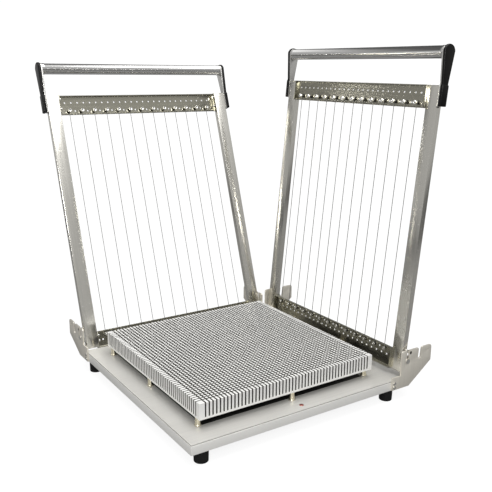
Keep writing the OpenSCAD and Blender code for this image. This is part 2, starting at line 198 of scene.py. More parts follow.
def rounded_square(half, radius):
    """Outline of a square with round corners."""
    inner = half - radius
    corners = ((inner, inner, 0), (-inner, inner, 90), (-inner, -inner, 180), (inner, -inner, 270))
    return [p for x, y, a in corners for p in arc((x, y), radius, a, a + 90, corner_steps)]


def from_curve(curve):
    """The mesh of a curve, its seams welded."""
    holder = bpy.data.objects.new("maker", curve)
    bpy.context.scene.collection.objects.link(holder)
    seen = holder.evaluated_get(bpy.context.evaluated_depsgraph_get())
    mesh = bpy.data.meshes.new_from_object(seen)
    bpy.data.objects.remove(holder)
    solid = bmesh.new()
    solid.from_mesh(mesh)
    bmesh.ops.remove_doubles(solid, verts=solid.verts, dist=weld)
    bmesh.ops.dissolve_degenerate(solid, edges=solid.edges, dist=weld / 10)
    bmesh.ops.recalc_face_normals(solid, faces=solid.faces)
    return solid


def plate(outlines, thickness, edge, place, segments=1):
    """A plate with broken edges. The first outline is its rim and the others are holes."""
    curve = bpy.data.curves.new("plate", "CURVE")
    curve.dimensions = "2D"
    curve.fill_mode = "BOTH"
    curve.extrude = thickness / 2 - edge
    curve.bevel_depth = edge
    curve.bevel_resolution = segments - 1
    curve.offset = -edge
    for outline in outlines:
        spline = curve.splines.new("POLY")
        spline.points.add(len(outline) - 1)
        for point, (x, y) in zip(spline.points, outline):
            point.co = (x, y, 0, 1)
        spline.use_cyclic_u = True
    solid = from_curve(curve)
    solid.transform(place)
    return solid


def joined(solids):
    """Several solids in one mesh."""
    whole = bmesh.new()
    for solid in solids:
        mesh = bpy.data.meshes.new("part")
        solid.to_mesh(mesh)
        solid.free()
        whole.from_mesh(mesh)
    return whole


def piece(name, solid, body, material, nodes, place=Matrix()):
    """A finished piece: smooth but for its edges, on its body, standing for CAD nodes."""
    mesh = bpy.data.meshes.new(name)
    solid.to_mesh(mesh)
    solid.free()
    mesh.shade_smooth()
    mesh.set_sharp_from_angle(angle=crease)
    mesh.materials.append(material)
    made = bpy.data.objects.new(name, mesh)
    bpy.context.scene.collection.objects.link(made)
    made.matrix_world = place
    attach(made, body)
    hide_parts(*nodes)
    return made


def second(made, material, test):
    """Gives the faces whose centre passes the test a second material."""
    made.data.materials.append(material)
    for face in made.data.polygons:
        if test(face.center):
            face.material_index = 1


base_metal = brushed(
    "base_satin_aluminium", (0.55, 0.54, 0.51), 0.42, (5, 700, 700), 0.10, 0.11, 0.3
)
# painted shade: a black colour for the square of the top plate under the platen, standing in for
# the shade in the gap
under_platen_painted_shade = brushed("black_coat", (0.012, 0.012, 0.011), 0.50, (60, 60, 60), 0.10, 0.20, 0.0)
# the ledge, then three of the square's four round corners
base_rim = [(base_half - ledge_slant, -base_half), (base_half + ledge_slant, ledge_near)]
base_rim += [(base_high.x, ledge_near), (base_high.x, ledge_end), (base_half, ledge_end)]
base_rim += rounded_square(base_half, top_corner)[: 3 * (corner_steps + 1)]
base_plate = plate(
    [base_rim],
    base_high.z - base_low.z,
    top_edge,
    Matrix.Translation((0, 0, (base_low.z + base_high.z) / 2)),
    2,
)
# the plate is cut along the edge of the painted shade
for axis in ((1, 0, 0), (0, 1, 0), (-1, 0, 0), (0, -1, 0)):
    bmesh.ops.bisect_plane(
        base_plate,
        geom=base_plate.verts[:] + base_plate.edges[:] + base_plate.faces[:],
        plane_co=Vector(axis) * painted_shade_half,
        plane_no=axis,
    )
# the square under the platen gets the painted shade
second(
    piece("base_top_plate", base_plate, "base", base_metal, ["base_top"]),
    under_platen_painted_shade,
    lambda at: max(abs(at.x), abs(at.y)) < painted_shade_half,
)

# ---- Skirt ----
# Folded aluminium, 1.5 mm thick, that makes the four sides of the base. Its upper edge is
# set in a little, which leaves the fine shadow line under the top plate.
skirt_low, skirt_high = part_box("base_skirt")
skirt_wall = 1.5 * MM
skirt_step = 1.1 * MM
skirt_corner = 1.2 * MM
skirt_edge = 0.5 * MM
hem_edge = 0.2 * MM


def wrapped(profile, half, radius):
    """A closed band round a square: each point of its profile is (distance in, height)."""
    band = bmesh.new()
    loops = []
    for inset, height in profile:
        outline = rounded_square(half - inset, max(radius - inset, hem_edge))
        loops.append([band.verts.new((x, y, height)) for x, y in outline])
    for low, high in zip(loops, loops[1:] + loops[:1]):
        for i in range(len(low)):
            j = (i + 1) % len(low)
            band.faces.new((low[i], low[j], high[j], high[i]))
    bmesh.ops.recalc_face_normals(band, faces=band.faces)
    return band


skirt_profile = [
    (0, skirt_low.z + skirt_edge),
    (0, skirt_high.z - skirt_step - hem_edge),
    (hem_edge, skirt_high.z - skirt_step),
    (skirt_step, skirt_high.z - skirt_step),
    (skirt_step, skirt_high.z),
    (skirt_wall, skirt_high.z),
    (skirt_wall, skirt_low.z),
    (skirt_edge, skirt_low.z),
    (skirt_edge * 0.3, skirt_low.z + skirt_edge * 0.3),
]
# painted light: the same satin aluminium as the top plate, given a much lighter colour to make up
# for the dim light on the sides
skirt_metal_painted_light = brushed(
    "skirt_satin_aluminium", (0.93, 0.92, 0.885), 0.42, (4, 4, 650), 0.08, 0.04, 0.4
)
piece(
    "base_skirt_band",
    wrapped(skirt_profile, base_half, skirt_corner),
    "base",
    skirt_metal_painted_light,
    ["base_skirt"],
)

# ---- Bottom cover ----
# A plain 1.5 mm aluminium sheet, left as milled, that fits inside the skirt and closes the
# base from below. The feet are screwed to it, and it has four free bolt holes.
cover_metal = brushed("bottom_mill_aluminium", (0.66, 0.66, 0.65), 0.42, (300, 6, 300), 0.08, 0.05)


def carry(node, material, edge=0.0):
    """Gives a CAD node its material and, where asked, breaks its sharp edges."""
    shown = frame["nodes"][node]
    shown.data.materials.clear()
    shown.data.materials.append(material)
    if edge:
        bevel = shown.modifiers.new("broken_edges", "BEVEL")
        bevel.width = edge
        bevel.segments = 2
        bevel.limit_method = "ANGLE"
        bevel.angle_limit = radians(50)
        bevel.use_clamp_overlap = False
        bevel.harden_normals = False


carry("base_bottom", cover_metal)

# ---- Feet ----
# Moulded black rubber feet, slightly tapered, each with a screw up its bore.
# The edges are round and a shallow groove runs under the flange.
foot_low, foot_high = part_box("foot_front_left")
foot_height = foot_high.z - foot_low.z
foot_wide = (foot_high.x - foot_low.x) / 2
foot_bore = 5.5 * MM
foot_seat = 9.5 * MM
foot_screw = 3.2 * MM
foot_flange = foot_height - 3.4 * MM
foot_round = 1.1 * MM
pebble_height = 0.3 * MM


def speckled(name, colour, rough, frequency, depth):
    """Moulded rubber or plastic: dull, with a fine pebbled skin and faint handling marks."""
    paint = Paint(bpy.data.materials.new(name))
    pebble = paint.noise((frequency, frequency, frequency), 2.0)
    marks = paint.noise((22, 22, 22), 3.0)
    bump = {"Strength": depth, "Distance": pebble_height, "Height": pebble}
    return paint.surface(
        Base_Color=paint.blend(pebble * 0.5 + marks * 0.5, shade(colour, 0.6), shade(colour, 1.4)),
        Roughness=rough + (marks - 0.5) * 0.3 + (pebble - 0.5) * 0.1,
        Specular_IOR_Level=0.2,
        Normal=paint.node("Bump", {}, bump, "Normal"),
    )


def turned(profile, place, steps=40):
    """A solid turned about Z from (radius, height) points, ends on the axis or closed in a ring."""
    solid = bmesh.new()
    line = [solid.verts.new((r, 0, z)) for r, z in profile]
    edges = [solid.edges.new(pair) for pair in zip(line, line[1:])]
    bmesh.ops.spin(
        solid, geom=line + edges, axis=(0, 0, 1), cent=(0, 0, 0), angle=tau, steps=steps
    )
    bmesh.ops.remove_doubles(solid, verts=solid.verts, dist=weld)
    bmesh.ops.recalc_face_normals(solid, faces=solid.faces)
    solid.transform(place)
    return solid


def soften(points, radius, steps=3):
    """Rounds the corners of a line of points, apart from its two ends."""
    smooth = [points[0]]
    for before, corner, after in zip(points, points[1:], points[2:]):
        ends = []
        for other in (before, after):
            run = hypot(other[0] - corner[0], other[1] - corner[1])
            share = min(radius / run, 0.49) if run > 0 else 0
            ends.append([c + (o - c) * share for c, o in zip(corner, other)])
        for i in range(steps + 1):
            t = i / steps
            smooth.append(
                tuple(
                    (1 - t) ** 2 * a + 2 * t * (1 - t) * c + t**2 * b
                    for a, c, b in zip(ends[0], corner, ends[1])
                )
            )
    return smooth + [points[-1]]


foot_profile = soften(
    [
        (foot_screw, foot_height),
        (foot_wide, foot_height),
        (foot_wide, foot_flange),
        (foot_wide - 0.7 * MM, foot_flange - 0.8 * MM),
        (foot_wide - 0.6 * MM, foot_flange - 1.6 * MM),
        (foot_wide - 1 * MM, 0),
        (foot_bore + 1.5 * MM, 0),
        (foot_bore, 1 * MM),
        (foot_bore, foot_seat),
        (foot_screw, foot_seat),
    ],
    foot_round,
)
rubber = speckled("foot_rubber", (0.008, 0.008, 0.008), 0.70, 1900, 0.25)
for corner in ("front_left", "front_right", "back_left", "back_right"):
    low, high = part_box("foot_" + corner)
    centre = Matrix.Translation(((low.x + high.x) / 2, (low.y + high.y) / 2, low.z))
    piece(
        "rubber_foot_" + corner,
        turned(foot_profile + foot_profile[:1], centre),
        "base",
        rubber,
        ["foot_" + corner],
    )

zinc = brushed("screw_bright_steel", (0.66, 0.65, 0.62), 0.26, (500, 500, 500), 0.10, 0.06)
carry("foot_screws", zinc, 0.3 * MM)

# ---- Platen ----
# A thick aluminium block, sawn both ways with a slot every 7.5 mm so that the strings pass
# through the food and into the slots. What is left standing is a field of small posts, milled
# bright outside and dull in the slots, where shade is painted in as a dark colour.
platen_low, platen_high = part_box("platen")
slot_step = 7.5 * MM
slot_count = 51
slot_width = 3 * MM
slot_floor = platen_low.z + 4.7 * MM
post_edge = 0.35 * MM
under_edge = 0.6 * MM

platen_half = platen_high.x
middles = [(i - slot_count // 2) * slot_step for i in range(slot_count)]
lines = [-platen_half]
for middle in middles:
    lines += [middle - slot_width / 2, middle + slot_width / 2]
lines.append(platen_half)
count = len(lines)
points = [(x, y, slot_floor) for x in lines for y in lines]
faces = []
for i in range(count - 1):
    for j in range(count - 1):
        ring = [i * count + j, (i + 1) * count + j, (i + 1) * count + j + 1, i * count + j + 1]
        if i % 2 or j % 2:
            faces.append(ring)
            continue
        # a post: four walls, a broken edge and its top
        west, east, south, north = lines[i], lines[i + 1], lines[j], lines[j + 1]
        for inset, height in ((0, platen_high.z - post_edge), (post_edge, platen_high.z)):
            start = len(points)
            points += [
                (west + inset, south + inset, height),
                (east - inset, south + inset, height),
                (east - inset, north - inset, height),
                (west + inset, north - inset, height),
            ]
            upper = list(range(start, start + 4))
            faces += [
                [ring[k], ring[(k + 1) % 4], upper[(k + 1) % 4], upper[k]] for k in range(4)
            ]
            ring = upper
        faces.append(ring)
# the sides under the posts and the underside
last = count - 1
rim = [i * count for i in range(count)]
rim += [last * count + j for j in range(1, count)]
rim += [i * count + last for i in range(last - 1, -1, -1)]
rim += list(range(last - 1, 0, -1))
for inset, height in ((0, platen_low.z + under_edge), (under_edge, platen_low.z)):
    start = len(points)
    reach = (platen_half - inset) / platen_half
    points += [(points[k][0] * reach, points[k][1] * reach, height) for k in rim]
    lower = list(range(start, start + len(rim)))
    for k in range(len(rim)):
        after = (k + 1) % len(rim)
        faces.append([rim[k], lower[k], lower[after], rim[after]])
    rim = lower
faces.append(rim[::-1])
sawn = bpy.data.meshes.new("sawn")
sawn.from_pydata(points, [], faces)
posts = bmesh.new()
posts.from_mesh(sawn)
bmesh.ops.recalc_face_normals(posts, faces=posts.faces)
platen_metal = brushed(
    "platen_milled_aluminium", (0.93, 0.925, 0.90), 0.40, (900, 900, 60), 0.10, 0.04, 0.4
)
# dull sawn finish, with painted shade: a dark colour that stands in for the shade down in the slots
slot_metal_painted_shade = brushed("platen_sawn_slots", (0.26, 0.25, 0.22), 0.42, (900, 900, 60), 0.10, 0.10, 0.8)
# the post walls and slot floors get the painted shade
second(
    piece("platen_block", posts, "base", platen_metal, ["platen"]),
    slot_metal_painted_shade,
    lambda at: max(abs(at.x), abs(at.y)) < platen_half - post_edge
    and at.z < platen_high.z - post_edge,
)

# ---- Standoffs ----
# Eight small standoffs, turned from brass with a round flange, that hold the platen clear of
# the base. A screw runs up through each from inside the base.
stand_low, stand_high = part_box("platen_standoffs")
stand_height = stand_high.z - stand_low.z
stand_flange = 6.5 * MM
stand_collar = 5 * MM
stand_in = stand_high.x - stand_flange
stand_corner = 183.75 * MM
stand_middle = 3.75 * MM
stand_places = [(x, y) for x in (-stand_in, stand_in) for y in (-stand_corner, stand_corner)]
stand_places += [(side * stand_in, stand_middle) for side in (-1, 1)]
stand_places += [(stand_middle, side * stand_in) for side in (-1, 1)]
stand_profile = soften(
    [
        (0, 0),
        (stand_flange, 0),
        (stand_flange, 1.6 * MM),
        (5.4 * MM, 2.6 * MM),
        (4.6 * MM, stand_height - 3 * MM),
        (stand_collar, stand_height - 2.4 * MM),
        (stand_collar, stand_height),
        (0, stand_height),
    ],
    0.5 * MM,
)
brass = brushed("standoff_brass", (0.74, 0.69, 0.54), 0.28, (600, 600, 40), 0.08, 0.05)
stands = [Matrix.Translation((x, y, stand_low.z)) for x, y in stand_places]
piece(
    "brass_standoffs",
    joined([turned(stand_profile, place) for place in stands]),
    "base",
    brass,
    ["platen_standoffs"],
)
carry("platen_screws", zinc, 0.3 * MM)

# ---- Plug ----
# A small turned plug of reddish copper. Its stem is pressed into a hole in the front rim of
# the base, and only the low domed head shows.
plug_low, plug_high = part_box("hole_plug")
plug_centre = (plug_low + plug_high) / 2
plug_radius = (plug_high.x - plug_low.x) / 2
plug_stem = 2.9 * MM
plug_depth = 1.5 * MM
plug_dome = 1 * MM
plug_profile = [(0, -plug_depth), (plug_stem, -plug_depth), (plug_stem, 0), (plug_radius, 0)]
for angle in range(15, 91, 15):
    plug_profile.append((plug_radius * cos(radians(angle)), plug_dome * sin(radians(angle))))
copper = brushed("plug_copper", (0.42, 0.15, 0.12), 0.35, (800, 800, 800), 0.10, 0.08)
piece(
    "copper_plug",
    turned(plug_profile, Matrix.Translation((plug_centre.x, plug_centre.y, base_high.z))),
    "base",
    copper,
    ["hole_plug"],
)

# ---- Hinge cheeks ----
# Four 3 mm stainless plates screwed to the outside of the skirt, laser cut with a keyhole for
# the pivot pin, a J-shaped notch and a small hole. At the back corner two of them cross.
joints = {joint["name"]: joint for joint in frame["joints"]}
cheek_edge = 0.35 * MM
keyhole = 2.6 * MM
pin_radius = 5 * MM
shoulder_round = 4 * MM
tip_round = 6 * MM
mouth_round = 5 * MM
notch_round = 3.5 * MM
small_hole = 1.5 * MM
left_tab = 12 * MM
right_tab = 7 * MM
cheek_steel = brushed(
    "cheek_brushed_steel", (0.86, 0.82, 0.73), 0.36, (420, 420, 12), 0.10, 0.07, 0.7
)


def hinge_point(joint, across):
    """Distance out and height of a hinge line; across is the index of the outward axis."""
    place = joint["pos_m"]
    return place[across], place[2]


def cheek_outlines(low, high, hinge, across, tab):
    """Rim and hole of a cheek, as distance out and height. tab is how high its inner end is."""
    start, end, top = low[across], high[across], high[2]
    out, up = hinge
    notch = top - 20 * MM
    tail = up - 10.5 * MM
    mouth = out + 25.5 * MM
    step = start + 22.5 * MM
    horn = mouth + 12 * MM
    rim = [(start, low[2]), (start, tab), (step, tab)]
    rim += arc((step + shoulder_round, top - shoulder_round), shoulder_round, 180, 90)
    # the keyhole, open at the top
    rim += [(out - keyhole, top)]
    rim += arc((out, up), pin_radius, 120, 420, 30)
    rim += [(out + keyhole, top)]
    # the J-shaped notch and the horn beyond it
    rim += arc((mouth, top - mouth_round), mouth_round, 90, 20)
    rim += [(mouth + notch_round, notch)]
    rim += arc((mouth + 2 * notch_round, notch), notch_round, 180, 360)
    rim += [(horn, top - tip_round)]
    rim += arc((horn + shoulder_round, top - shoulder_round), shoulder_round, 180, 90)
    rim += arc((end - tip_round, top - tip_round), tip_round, 90, 0)
    rim += [(end, tail), (start + 47 * MM, low[2])]
    return [rim, arc((end - 10 * MM, top - 10 * MM), small_hole, 0, 345, 23)]


cheek_places = {
    "left_near": (1, "left_arm_hinge"),
    "left_far": (1, "left_arm_hinge"),
    "right_near": (0, "right_arm_hinge"),
    "right_far": (0, "right_arm_hinge"),
}
for label, (across, joint) in cheek_places.items():
    node = label + "_cheek"
    low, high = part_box(node)
    flat = 1 - across
    hinge = hinge_point(joints[joint], across)
    tab = base_high.z + (left_tab if across else right_tab)
    if label == "right_far":
        # its inner end stays just below the top of the top plate
        tab = base_high.z - top_edge
    outlines = cheek_outlines(low, high, hinge, across, tab)
    axis = Vector((0, 0, 0))
    axis[across] = 1
    normal = Vector((0, 0, 0))
    normal[flat] = 1
    centre = Vector((0, 0, 0))
    centre[flat] = (low[flat] + high[flat]) / 2
    place = Matrix((axis, (0, 0, 1), axis.cross(Vector((0, 0, 1))))).transposed().to_4x4()
    place.translation = centre
    piece(
        label + "_hinge_cheek",
        plate(outlines, high[flat] - low[flat], cheek_edge, place, 2),
        "base",
        cheek_steel,
        [node],
    )
carry("cheek_screws", zinc, 0.3 * MM)
carry("stop_pins", zinc, 0.4 * MM)

# ---- Arms ----
# Both string arms are built in the closed position: x along the bars, y towards the hinge,
# z up, with the hinge line as the origin. This frame then leans each arm back on its stops.


class Arm:
    """One string arm and the frame that its pieces are drawn in."""

    def __init__(self, name, turn):
        joint = joints[name + "_arm_hinge"]
        lean = max(abs(limit) for limit in joint["range_deg"])
        self.name = name
        self.body = name + "_arm"
        self.place = (
            Matrix.Translation(joint["pos_m"])
            @ Matrix.Rotation(radians(turn), 4, "Z")
            @ Matrix.Rotation(radians(-lean), 4, "X")
        )

    def box(self, node):
        """Lowest and highest corner of one of the arm's CAD nodes, in the arm's own frame."""
        back = self.place.inverted()
        seen = [back @ v.co for v in frame["nodes"][self.name + "_" + node].data.vertices]
        return (
            Vector(min(p[k] for p in seen) for k in range(3)),
            Vector(max(p[k] for p in seen) for k in range(3)),
        )

    def middle(self, node, k):
        """Middle of one of the arm's CAD nodes along an axis of the arm's own frame."""
        low, high = self.box(node)
        return (low[k] + high[k]) / 2

    def piece(self, label, solid, material, slot, *nodes):
        names = [self.name + "_" + node for node in nodes]
        return piece(self.name + "_" + label, solid, self.body, material, names, self.place)


arms = [Arm("left", 0), Arm("right", -90)]

# ---- Rails ----
# Drawn stainless bars, 28 x 12.5 mm, with rounded edges and thin welded end caps. Each arm
# has two, and all its other parts are screwed to them.
rail_edge = 1.1 * MM
cap_depth = 1.6 * MM
cap_inset = 0.25 * MM
cap_lap = 0.3 * MM
cap_edge = 0.5 * MM
rail_steel = brushed("rail_brushed_steel", (0.80, 0.78, 0.72), 0.21, (330, 4, 330), 0.05, 0.08)


def block(low, high, edge, segments=2):
    """A box with round edges."""
    solid = bmesh.new()
    bmesh.ops.create_cube(solid, size=1)
    low, high = Vector(low), Vector(high)
    for v in solid.verts:
        v.co = Vector(high[k] if v.co[k] > 0 else low[k] for k in range(3))
    bmesh.ops.bevel(
        solid,
        geom=solid.edges[:],
        offset=edge,
        segments=segments,
        profile=0.5,
        affect="EDGES",
        clamp_overlap=True,
    )
    return solid


for arm in arms:
    for end in ("near", "far"):
        low, high = arm.box(end + "_rail")
        step = Vector((0, cap_depth, 0))
        inset = Vector((cap_inset, 0, cap_inset))
        deep = cap_depth + cap_lap
        upper_cap = Vector((high.x, low.y + deep, high.z)) - inset
        lower_cap = Vector((low.x, high.y - deep, low.z)) + inset
        rail = [
            block(low + step, high - step, rail_edge),
            block(low + inset, upper_cap, cap_edge),
            block(lower_cap, high - inset, cap_edge),
        ]
        arm.piece(end + "_side_rail", joined(rail), rail_steel, "rail_steel", end + "_rail")

# ---- String bars ----
# Two channels folded from 2 mm stainless sheet between the rails. The web is drilled for the
# studs and for spare string positions, and the lip that the strings cross is notched every 7.5 mm.
sheet = 2 * MM
fold_inner = 1 * MM
fold_outer = sheet + fold_inner
fold_middle = fold_inner + sheet / 2
fold_length = fold_middle * pi / 2
fold_steps = 5
lip_drop = 9 * MM
notch_width = 2.4 * MM
notch_depth = 6.7 * MM
string_step = 30 * MM
string_count = 13
string_x = [(i - string_count // 2) * string_step for i in range(string_count)]
spare_x = [(a + b) / 2 for a, b in zip(string_x, string_x[1:])]
row_count = 26
row_x = [(i - (row_count - 1) / 2) * 2 * slot_step for i in range(row_count)]
hole_radius = 2 * MM
bar_edge = 0.25 * MM
web_rise = 1 * MM
end_gap = 0.2 * MM
end_edge = 0.4 * MM
bar_steel = brushed("bar_polished_steel", (0.42, 0.405, 0.335), 0.20, (5, 300, 300), 0.10, 0.09)


def channel(low, high, web_low, notched, stud, row):
    """A folded channel. notched is -1 or 1: the side of the notched lip. stud and row are the
    distances of the stud row and of the upper hole row along y."""
    half = (high.x - low.x) / 2
    flat = (high.y - low.y) / 2 - fold_outer
    middle = (high.y + low.y) / 2
    reach = flat + fold_length + lip_drop - fold_outer
    # the plain side, then the notched side, drawn flat
    rim = [(half, -notched * reach), (-half, -notched * reach), (-half, notched * reach)]
    for x in middles:
        rim += [
            (x - notch_width / 2, notched * reach),
            (x - notch_width / 2, notched * (reach - notch_depth)),
            (x + notch_width / 2, notched * (reach - notch_depth)),
            (x + notch_width / 2, notched * reach),
        ]
    rim.append((half, notched * reach))
    holes = [arc((x, stud - middle), hole_radius, 0, 345, 15) for x in spare_x]
    holes += [arc((x, row - middle), hole_radius, 0, 345, 15) for x in row_x]
    solid = plate([rim] + holes, sheet, bar_edge, Matrix.Translation((0, 0, sheet / 2)))
    # cut across where it folds, then bend both lips down
    for side in (-1, 1):
        for k in range(fold_steps + 1):
            bmesh.ops.bisect_plane(
                solid,
                geom=solid.verts[:] + solid.edges[:] + solid.faces[:],
                plane_co=(0, side * (flat + fold_length * k / fold_steps), 0),
                plane_no=(0, 1, 0),
            )
    for v in solid.verts:
        side = 1 if v.co.y > 0 else -1
        run = abs(v.co.y) - flat
        height = v.co.z
        if run > 0:
            turn = min(run / fold_length, 1) * pi / 2
            beyond = max(run - fold_length, 0)
            v.co.y = side * (flat + (fold_inner + height) * sin(turn))
            v.co.z = -fold_inner + (fold_inner + height) * cos(turn) - beyond
    solid.transform(Matrix.Translation((0, middle, web_low)))
    return solid


def across_x(x):
    """Turns something built about Z so that it runs along X from x."""
    return Matrix.Translation((x, 0, 0)) @ Matrix.Rotation(pi / 2, 4, "Y")


for arm in arms:
    web_low = arm.middle("strings", 2) + web_rise
    rail_end = arm.box("near_rail")[1].y
    bars = {
        "tension_bar": ("upper_string_bar", 1, arm.middle("tension_screws", 1), -19 * MM),
        "anchor_bar": ("lower_string_bar", -1, arm.middle("string_anchors", 1), 11 * MM),
    }
    for node, (label, notched, stud, offset) in bars.items():
        low, high = arm.box(node)
        parts = [channel(low, high, web_low, notched, stud, stud + offset)]
        for x in (low.x, high.x - sheet):
            start = (x, low.y + end_gap, low.z)
            end = (x + sheet, min(high.y, rail_end) - end_gap, high.z)
            parts.append(block(start, end, end_edge))
        arm.piece(label, joined(parts), bar_steel, "bar_steel", node)
    carry(arm.name + "_frame_screws", zinc, 0.3 * MM)

# ---- Tension screws, nuts and anchor studs ----
# The upper end of each string is wound on a socket-head screw with a knurled head, held by a
# nut behind the web. The lower end is looped round a plain riveted stud.
knurls = 26
knurl_depth = 0.18 * MM
socket_radius = 2.1 * MM
shank = 2.5 * MM
screw_steel = brushed("tension_screw_steel", (0.92, 0.91, 0.88), 0.18, (700, 700, 700), 0.08, 0.05)
stud_steel = brushed("anchor_stud_steel", (0.76, 0.75, 0.71), 0.24, (700, 700, 700), 0.08, 0.05)


def tension_screw(low, string_z):
    """Head down, with a hexagon socket; the shank goes up through the web."""
    head, tall = 4.2 * MM, 4 * MM
    solid = turned(
        [(0, low.z + 3 * MM), (socket_radius, low.z + 2.6 * MM)]
        + [(socket_radius, low.z + 0.3 * MM), (socket_radius + 0.3 * MM, low.z)]
        + [(head - 0.6 * MM, low.z), (head, low.z + 0.6 * MM)]
        + [(head, low.z + tall - 0.4 * MM), (head - 0.4 * MM, low.z + tall)]
        + [(shank, low.z + tall), (shank, string_z + 7.6 * MM)]
        + [(2.1 * MM, string_z + 8 * MM), (0, string_z + 8 * MM)],
        Matrix(),
        knurls * 2,
    )
    for v in solid.verts:
        radius = hypot(v.co.x, v.co.y)
        spoke = round(Vector((v.co.x, v.co.y)).angle_signed(Vector((1, 0)), 0) / tau * knurls * 2)
        if radius > head - 0.1 * MM and spoke % 2:
            v.co.xy *= 1 - knurl_depth / radius
        elif abs(radius - socket_radius) < 0.05 * MM:
            # six flats
            angle = (spoke / (knurls * 2) * 360) % 60 - 30
            v.co.xy *= cos(pi / 6) / cos(radians(angle))
    return solid


def anchor_stud(low, string_z):
    """A round head below, the shank, and the rivet head on the back of the web."""
    return turned(
        soften(
            [
                (0, low.z + 0.9 * MM),
                (1.2 * MM, low.z + 0.9 * MM),
                (1.2 * MM, low.z),
                (3.8 * MM, low.z),
                (3.8 * MM, low.z + 1.8 * MM),
                (shank, low.z + 1.8 * MM),
                (shank, string_z + 3 * MM),
                (3.6 * MM, string_z + 3 * MM),
                (3.6 * MM, string_z + 4.5 * MM),
                (0, string_z + 4.5 * MM),
            ],
            0.45 * MM,
        ),
        Matrix(),
        28,
    )


def row(make, y):
    """One of these at each string."""
    made = []
    for x in string_x:
        solid = make()
        solid.transform(Matrix.Translation((x, y, 0)))
        made.append(solid)
    return joined(made)


for arm in arms:
    string_z = arm.middle("strings", 2)
    low = arm.box("tension_screws")[0]
    arm.piece(
        "socket_tension_screws",
        row(lambda: tension_screw(low, string_z), arm.middle("tension_screws", 1)),
        screw_steel,
        "screw_steel",
        "tension_screws",
    )
    carry(arm.name + "_tension_nuts", zinc, 0.35 * MM)
    low = arm.box("string_anchors")[0]
    arm.piece(
        "riveted_anchor_studs",
        row(lambda: anchor_stud(low, string_z), arm.middle("string_anchors", 1)),
        stud_steel,
        "screw_steel",
        "string_anchors",
    )

# ---- Strings ----
# Hard-drawn stainless wire, 1.4 mm. Each runs straight from its stud to its screw and is
# wound on both, so the turns lie side by side on the shanks.
turn_rise = 1.45 * MM
turn_points = 14
upper_turns = 2.2
lower_turns = 0.8
string_steel = brushed("string_wire_steel", (0.20, 0.197, 0.19), 0.42, (900, 30, 900), 0.05, 0.06)


def winding(x, y, z, radius, towards, turns):
    """Points of the turns down a shank, from where the straight wire meets it."""
    steps = int(turns * turn_points)
    return [
        (
            x + radius * sin(tau * i / turn_points),
            y + towards * radius * cos(tau * i / turn_points),
            z - turn_rise * i / turn_points,
        )
        for i in range(steps + 1)
    ]


def wires(paths, radius):
    """Round wires along paths."""
    curve = bpy.data.curves.new("wires", "CURVE")
    curve.dimensions = "3D"
    curve.bevel_depth = radius
    curve.bevel_resolution = 2
    curve.use_fill_caps = True
    for path in paths:
        spline = curve.splines.new("POLY")
        spline.points.add(len(path) - 1)
        for point, place in zip(spline.points, path):
            point.co = (*place, 1)
    return from_curve(curve)


for arm in arms:
    low, high = arm.box("strings")
    string_z = (low.z + high.z) / 2
    string_radius = (high.z - low.z) / 2
    radius = shank + string_radius
    screw_y = arm.middle("tension_screws", 1)
    stud_y = arm.middle("string_anchors", 1)
    paths = []
    for x in string_x:
        upper = winding(x, screw_y, string_z, radius, 1, upper_turns)
        lower = winding(x, stud_y, string_z, radius, -1, lower_turns)
        paths.append(lower[::-1] + upper)
    arm.piece("wound_strings", wires(paths, string_radius), string_steel, "string_steel", "strings")

# ---- Pivots ----
# A small lug on the outer side of each rail, held by two countersunk screws, with the turned
# pivot pin standing out of it through the cheek's keyhole.
lug_steel = brushed("lug_steel", (0.68, 0.67, 0.63), 0.30, (300, 300, 300), 0.10, 0.06)
for arm in arms:
    for end in ("near", "far"):
        carry(f"{arm.name}_{end}_pivot", lug_steel, 0.35 * MM)
    carry(arm.name + "_pivot_screws", zinc, 0.25 * MM)

# ---- Handles ----
# A polished stainless tube with a ferrule at each end, carried by two tapered brackets of 3 mm
# steel. Each bracket has a moulded black cover on the outside, thicker at its foot.
ferrule_length = 7 * MM
ferrule_rise = 0.5 * MM
bracket_edge = 0.5 * MM
cover_edge = 2.2 * MM
tube_wall = 2 * MM
bracket_round = 13 * MM
bracket_taper = 4 * MM
cover_thick = 6.5 * MM
cover_proud = 1.5 * MM
cover_foot_long = 40 * MM
cover_foot_half = 8.5 * MM
cover_foot_edge = 1.8 * MM
tube_steel = brushed("handle_polished_steel", (0.80, 0.795, 0.78), 0.15, (6, 260, 260), 0.02, 0.04)
bracket_steel = brushed("bracket_satin_steel", (0.78, 0.77, 0.74), 0.28, (300, 5, 300), 0.10, 0.06)
plastic = speckled("cover_black_plastic", (0.005, 0.0048, 0.0045), 0.30, 1400, 0.12)


def paddle(y0, y1, y2, half, radius, middle):
    """Outline of a bracket or cover in (y, z): straight from y0 to y1, then widening to the
    round end about y2."""
    outline = [(y0, middle - half), (y1, middle - half)]
    outline += arc((y2, middle), radius, -100, -260, 20)
    return outline + [(y1, middle + half), (y0, middle + half)]


def upright(low_x, high_x):
    """Stands an outline drawn in (y, z) upright between two places along x."""
    turn = Matrix(((0, 0, 1), (1, 0, 0), (0, 1, 0))).to_4x4()
    turn.translation = Vector(((low_x + high_x) / 2, 0, 0))
    return turn


